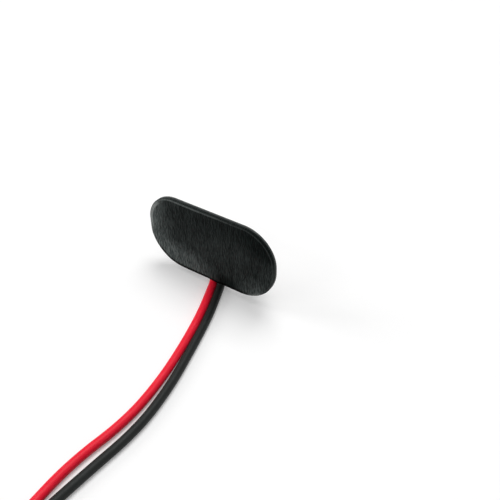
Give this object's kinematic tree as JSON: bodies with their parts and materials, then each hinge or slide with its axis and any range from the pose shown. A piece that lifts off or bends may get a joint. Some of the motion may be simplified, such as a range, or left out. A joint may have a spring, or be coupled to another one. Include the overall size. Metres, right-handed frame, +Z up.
{
  "type": "battery snap connector",
  "caption": "Flat black snap connector with a stud and a petalled socket on its battery side, and a red and a black lead with tinned ends leaving its long lower edge.",
  "frame": {"origin": "midway between the two snaps, on the battery-side surface of the formed sheet", "axes": "+X along the long side from the socket to the stud, +Y the way the battery pulls off, +Z up, away from the edge that the leads leave"},
  "size_m": [0.0401, 0.075, 0.0163],
  "materials": {
    "leatherette": "grained black vinyl-coated fabric with a slight sheen",
    "vinyl": "smooth matt black vinyl",
    "fibre_board": "dark brown vulcanised fibre",
    "nickel": "bright nickel plating with light wear",
    "nickel_eyelet": "nickel-plated brass, slightly duller",
    "tinned_brass": "dull tin plating",
    "tinned_copper": "tinned copper strands",
    "solder": "smooth grey solder",
    "red_insulation": "glossy red PVC",
    "black_insulation": "glossy black PVC"
  },
  "bodies": {
    "root": {"back_sheet": "leatherette", "formed_sheet": "vinyl", "contact_board": "fibre_board", "stud_contact": "nickel", "socket_contact": "nickel", "socket_eyelet": "nickel_eyelet", "stud_washer": "tinned_brass", "socket_washer": "tinned_brass", "red_wire": "tinned_copper", "black_wire": "tinned_copper", "red_solder": "solder", "black_solder": "solder", "red_lead_inner": "red_insulation", "black_lead_inner": "black_insulation", "red_lead": "red_insulation", "black_lead": "black_insulation", "red_coil": "red_insulation", "black_coil": "black_insulation", "red_tinned_end": "tinned_copper", "black_tinned_end": "tinned_copper"}
  },
  "joints": []
}
